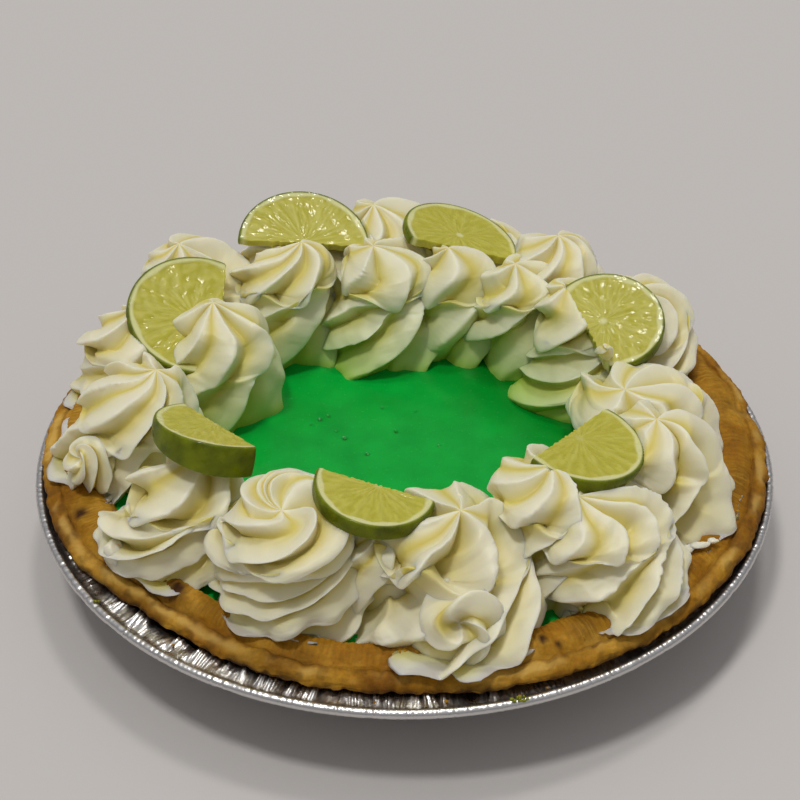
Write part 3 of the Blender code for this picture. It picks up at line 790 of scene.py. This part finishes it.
def rolled_foil():
    """Soft aluminium foil, bright from the rolling mill: mirror-like on each facet, dulled by rolling lines.

    Scuffs of 6 mm change its gloss, and creases of 2.2 mm break up what it mirrors.
    """
    made, place = new_material("rolled aluminium foil")
    scuffs = node(made, "TexNoise", {"Vector": place, "Scale": PER_METRE / 6, "Detail": 5, "Roughness": 0.7})
    creases = {"Vector": place, "Scale": PER_METRE / 2.2, "Detail": 4, "Roughness": 0.65}
    creases = node(made, "TexNoise", creases)
    return surfaced(
        made,
        {
            "Base Color": "#D6D4D2",
            "Metallic": 1.0,
            "Roughness": node(made, "ValToRGB", {"Fac": scuffs}, [(0.3, 0.24), (0.7, 0.38)]),
            "Normal": node(made, "Bump", {"Height": creases, "Distance": 0.35 * MM, "Strength": 0.45}),
        },
    )


def pleat_wave(angle, along, seed, pitch_mm=1.8):
    """Pleats of uneven width: a triangle wave of a counter that grows round the tin, and each pleat's tilt.

    The counter goes up by one for each pleat, the pleats' widths are drawn about the pitch, and pleats
    lean in bundles of four, which moves the counter with the way along them.
    """
    draws = np.random.default_rng(seed)
    count = int(TAU * int(FLANGE_MIDDLE) / pitch_mm)
    widths = draws.uniform(0.5, 1.6, count)
    edges = np.concatenate([[0], np.cumsum(widths)])
    edges = edges / edges[-1] * TAU
    bundles = np.repeat(draws.normal(0, 0.013, count // 4 + 1), 4)[: count + 1]
    lean = np.interp(angle, edges, np.resize(bundles, count + 1)) * along
    counter = np.interp((angle + lean) % TAU, edges, np.arange(count + 1))
    deep = np.interp(angle, edges, np.append(draws.uniform(0.35, 1.0, count), 0.6))
    tilts = draws.uniform(-0.60, 0.10, count + 1)[np.clip(counter, 0, count).astype(int)]
    return deep * (2 * np.abs((counter % 1.0) * 2 - 1) - 1), tilts


def build_tin(columns=2700):
    """The tin as rings: underside, pleated wall, flange, round the rolled rim, and back down the inside.

    The section is a list of (radius, height, share of the pleats). Pleats stand up where the section
    lies flat and stand out where it is steep, and the rolled rim has crimps and small dents.
    """
    wall_in, wall_out = TIN_BASE_RADIUS, 116.5
    roll = TIN_RADIUS - ROLL_RADIUS
    outside = [(0.5, 0.0, 0.0), (93, 0.0, 0.0), (95.3, 0.3, 0.2), (96.4, 1.6, 0.6)]
    outside += [(wall_in + (wall_out - wall_in) * k, 1.6 + 26.2 * k, 1.0) for k in (0.15, 0.5, 0.9)]
    flange = [
        (116.8, 27.9, 1.0), (118.4, 28.5, 1.0), (120.4, 28.9, 1.0), (122.4, 29.1, 0.9), (123.9, 29.2, 0.5),
    ]  # fmt: skip
    turn = np.radians(np.linspace(-160, 168, 12))
    rim = [(roll + ROLL_RADIUS * math.cos(a), TIN_HEIGHT + ROLL_RADIUS * math.sin(a), 0.0) for a in turn]
    inside = [(r - 0.15, z + 0.3, share) for r, z, share in reversed(outside[3:] + flange)]
    inside = [(124.5, 30.1, 0.15)] + inside + [(0.5, 0.3, 0.0)]
    outside += flange
    section = np.array(outside + rim + inside)
    radius, height, share = (section[:, [column]] for column in range(3))
    angle = np.linspace(0, TAU, columns, endpoint=False)
    along = np.where(radius > 116.6, (radius - FLANGE_MIDDLE) / 4, height / TIN_HEIGHT - 1.9)
    pleats, tilts = pleat_wave(angle[None, :], along, 70)
    row = np.arange(len(section))[:, None]
    on_rim = (row >= len(outside)) & (row < len(outside) + len(rim))
    ring = np.stack([TIN_RADIUS * np.cos(angle), TIN_RADIUS * np.sin(angle), 0 * angle], axis=-1)[None]
    crimp = smooth(0.3, 0.9, waves(ring, 16, 71, 4)) * 0.7 + 0.25 * waves(ring, 1.7, 72, 2)
    rises, runs = np.gradient(height, axis=0), np.gradient(radius, axis=0)
    steep = np.abs(rises / (np.hypot(runs, rises) + 1e-9))
    z = height + share * 0.55 * pleats * (1 - 0.6 * steep) - on_rim * 0.28 * crimp * (height > TIN_HEIGHT)
    z = z + (radius > 116) * share * tilts * (radius - FLANGE_MIDDLE)
    z = np.where(height < 0.5, height, z)
    r = radius - share * 0.5 * pleats * steep - on_rim * 0.30 * np.clip(crimp, 0, 1)
    rings = np.stack([r * np.cos(angle), r * np.sin(angle), z], axis=-1)
    made = closed_grid("foil_tin_pressed", rings, rolled_foil())
    ride(made, "foil_tin", slot="rolled_foil")


# Lime slices


def cut_lime():
    """Fresh lime: waxy green peel with oil glands, white pith, and wet glassy pulp in spindle-shaped sacs.

    Light goes into the pulp and the pith. Patches of juice of about 3 mm mirror the lights sharply.
    """
    made, place = new_material("cut lime")
    sac, membrane, pith, peel, dull = (
        node(made, "Attribute", attribute_name=name).outputs["Fac"]
        for name in ("sac", "membrane", "pith", "peel", "dull")
    )
    noises = ({"Scale": PER_METRE / size, "Detail": detail} for size, detail in ((7, 3), (1.1, 2), (3.0, 2)))
    blotch, glands, juice = (
        node(made, "TexNoise", {"Vector": place, "Roughness": 0.55, **noise}) for noise in noises
    )
    colour = node(made, "ValToRGB", {"Fac": sac}, [(0.0, "#B2AC3C"), (0.5, "#B7B144"), (1.0, "#BEB850")])
    skin = node(made, "ValToRGB", {"Fac": blotch}, [(0.3, "#4C5602"), (0.7, "#78820C")])
    for share, over in ((membrane, "#BFBC5E"), (pith, "#D2D194"), (peel, skin)):
        colour = node(made, "Mix", {0: share, 6: colour, 7: over}, data_type="RGBA").outputs[2]
    wet = node(made, "ValToRGB", {"Fac": juice}, [(0.53, 0.0), (0.57, 1.0)])
    dry = node(made, "ValToRGB", {"Fac": dull}, [(0.0, 0.38), (1.0, 0.5)])
    rough = node(made, "Mix", {0: wet, 6: dry, 7: (0.07, 0.07, 0.07, 1.0)}, data_type="RGBA").outputs[2]
    return surfaced(
        made,
        {
            "Base Color": colour,
            "Roughness": rough,
            "IOR": 1.38,
            "Specular IOR Level": 0.35,
            "Subsurface Weight": 0.45,
            "Subsurface Radius": (0.8, 1.0, 0.25),
            "Subsurface Scale": 0.003,
            "Normal": node(made, "Bump", {"Height": glands, "Distance": 0.12 * MM, "Strength": 0.35}),
        },
    )


def heading(degrees):
    """The flat direction at a bearing."""
    return np.array([math.cos(math.radians(degrees)), math.sin(math.radians(degrees))])


def slice_axes(facing):
    """The way a slice's upper face looks, and its two in-plane directions."""
    bearing, rise = facing
    level, up = heading(rise)
    normal = np.array([*(level * heading(bearing)), up])
    across = np.cross([0, 0, 1], normal)
    across /= np.linalg.norm(across)
    return normal, across, np.cross(normal, across)


def build_slice(name, values, finish, seed, columns=220):
    """A cut slice of lime, as rings from the middle of its upper face, over the edge, to the middle below.

    Its outline is a circle cut by a straight line. A ring at share q lies at q times the way from the
    outline's middle to the outline. Round the wheel's middle the pulp has segments, with a membrane
    between, and its sacs are waves long in the radius and short across it.
    """
    middle, facing, radius, past, round_side, thickness, (wedge, wedge_way) = values
    normal, across, upwards = slice_axes(facing)
    draws = np.random.default_rng(seed)
    theta = np.linspace(0, TAU, columns, endpoint=False)
    way = np.stack([np.cos(theta), np.sin(theta)], axis=-1)

    # The outline, as its reach from the outline's middle.
    centre = (radius - past) / 2 * heading(round_side)
    along_way = way @ centre
    to_arc = -along_way + np.sqrt(along_way**2 + radius**2 - centre @ centre)
    inward = -heading(round_side)
    facing_cut = way @ inward
    gap = past - centre @ inward
    to_cut = np.where(facing_cut > 1e-6, gap / np.maximum(facing_cut, 1e-6), 1e9)
    on_cut = to_cut < to_arc
    reach = np.minimum(to_arc, to_cut) - 0.5 * bell(to_cut, to_arc, 1.2)
    ragged = 0.35 * np.sin(theta * 31 + draws.uniform(0, 6)) + 0.35 * np.sin(theta * 47 + draws.uniform(0, 6))
    reach = reach - np.where(on_cut, 0.45 + ragged * 0.6, 0.12)

    # The rings: (share of the reach, share of the thickness) over the face, round the edge and back below.
    face = [(share, 0.0) for share in np.linspace(0.02, 0.97, 44)]
    edge = [
        (0.985, 0.0), (0.995, 0.06), (1.0, 0.14), (1.0, 0.35), (1.0, 0.6), (1.0, 0.82), (1.0, 0.92),
        (0.995, 0.98), (0.98, 1.0),
    ]  # fmt: skip
    below = [(share, 1.0) for share in np.linspace(0.95, 0.03, 14)]
    share, depth = np.array(face + edge + below).T[..., None]
    flat = centre + share[..., None] * reach[None, :, None] * way[None]
    thick = thickness + wedge * (flat @ heading(wedge_way))

    # The wheel: segments round a hub that lies a little off the middle, pith and peel round them.
    from_hub = np.hypot(flat[..., 0], flat[..., 1])
    bearing = np.arctan2(flat[..., 1], flat[..., 0])
    hub = draws.uniform(-1.2, 1.2, 2)
    pulp_bearing = np.arctan2(flat[..., 1] - hub[1], flat[..., 0] - hub[0])
    pulp_reach = np.hypot(flat[..., 0] - hub[0], flat[..., 1] - hub[1])
    segments = 9 + seed % 2
    turned = pulp_bearing * segments / TAU + draws.uniform() + 0.08 * np.sin(pulp_bearing * 3 + seed)
    to_membrane = np.abs((turned % 1.0) - 0.5) * 2
    wide = np.clip(0.9 / np.maximum(pulp_reach, 1.5) * segments / 3.2, 0, 0.6)
    membrane = np.clip(1 - (1 - to_membrane) / wide, 0, 1) * 0.85
    pith_depth = 2.35 + 0.35 * np.sin(bearing * 5 + seed) + 0.3 * np.sin(bearing * 11)
    to_peel = radius - 0.12 - from_hub
    pith = 1 - smooth(pith_depth - 0.5, pith_depth + 0.5, to_peel)
    pith = np.maximum(pith, (1 - smooth(0.8, 2.0, pulp_reach)) * (0.9 if past > 4 else 0.3))
    polar = np.stack([np.cos(pulp_bearing) * 9, np.sin(pulp_bearing) * 9, pulp_reach * 0.22], axis=-1)
    sac = waves(polar, 1.5, seed + 3, 2)

    # Which rings lie on the face, below and on the side, and how much peel and wet pulp show there.
    on_face, under_face = 1.0 * (depth <= 0.05), 1.0 * (depth >= 0.98)
    on_side = 1 - on_face - under_face
    peel = np.clip(1 - smooth(0.5, 1.1, to_peel) * np.maximum(on_face, under_face), 0, 1)
    peel = peel * np.where(on_cut & (to_peel > 0.8), 0.0, 1.0)
    peel = np.where((on_side > 0.5) & ~on_cut, 1.0, peel)
    wet = (1 - pith) * (1 - peel)
    relief = wet * (0.11 * sac - 0.20) + 0.05 * membrane * wet
    drop = depth * thick - on_face * relief + under_face * relief * 0.5
    bulge = 0.25 * np.sin(np.pi * depth) * np.where(on_cut, 0.0, 1.0)
    flat = flat + way[None] * bulge[..., None]
    points = np.array(middle, float) + flat[..., :1] * across + flat[..., 1:] * upwards
    points = points - drop[..., None] * normal
    carried = {
        "peel": peel,
        "pith": pith,
        "membrane": 0.55 * membrane * wet,
        "sac": np.clip(0.5 + 0.5 * sac, 0, 1),
        "dull": np.clip(np.maximum(pith, 0.35 * peel), 0, 1),
    }
    carried = {key: array[::-1] for key, array in carried.items()}
    made = closed_grid(f"{name}_cut", points[::-1], finish, carried)
    ride(made, name, slot="lime")


def build_slices(finish):
    """The seven slices that lie on the cream."""
    for number, (name, values) in enumerate(LIME_SLICES.items()):
        build_slice(name, values, finish, 200 + number)


# Stage


def stage():
    """A plain pale table, soft light from straight above and all round, and nothing else."""
    made, _ = new_material("pale table")
    surfaced(made, {"Base Color": "#C3BFBC", "Roughness": 0.7})
    side = 3.0
    corners = [(-side, -side, 0), (side, -side, 0), (side, side, 0), (-side, side, 0)]
    mesh = bpy.data.meshes.new("table")
    mesh.from_pydata(corners, [], [(0, 1, 2, 3)])
    mesh.materials.append(made)
    table = bpy.data.objects.new("table", mesh)
    bpy.context.scene.collection.objects.link(table)

    world = bpy.data.worlds.new("soft room light")
    bpy.context.scene.world = world
    world.use_nodes = True
    world.node_tree.nodes.clear()
    sky = node(world, "SeparateXYZ", {"Vector": node(world, "TexCoord").outputs["Generated"]})
    greys = [(0.0, (0.30, 0.30, 0.31, 1)), (1.0, (1.0, 1.0, 1.02, 1))]
    shade = node(world, "ValToRGB", {"Fac": sky.outputs["Z"]}, greys)
    node(world, "OutputWorld", {"Surface": node(world, "Background", {"Color": shade, "Strength": 0.50})})
    for name, place, power in (
        ("ceiling light", (-0.20, -0.14, 1.0), 1.15),
        ("second ceiling light", (0.10, 0.30, 1.0), 0.58),
    ):
        light = bpy.data.lights.new(name, "SUN")
        light.angle = math.radians(9.0)
        light.energy = power
        light.color = (1.0, 0.975, 0.945)
        lamp = bpy.data.objects.new(name, light)
        bpy.context.scene.collection.objects.link(lamp)
        aim_at(lamp, place, (0, 0, 0))


def aim_at(made, place, target):
    """Places an object and points its -Z at a target, its +Y upwards."""
    made.location = place
    made.rotation_euler = (Vector(target) - Vector(place)).to_track_quat("-Z", "Y").to_euler()


def camera():
    """Where the photo was taken from, worked out from the tin's rim in it."""
    lens = bpy.data.cameras.new("camera")
    lens.sensor_width = 36
    lens.lens = 98.7
    made = bpy.data.objects.new("camera", lens)
    bpy.context.scene.collection.objects.link(made)
    aim_at(made, (0, -0.60428, 0.50399), (-0.00166, 0.03379, 0.030))
    bpy.context.scene.camera = made
    bpy.context.scene.view_settings.view_transform = "Standard"


camera()
stage()
build_tin()
build_crust()
build_filling()
build_swirls(whipped_cream())
lime = cut_lime()
build_slices(lime)
build_crumbs(lime)
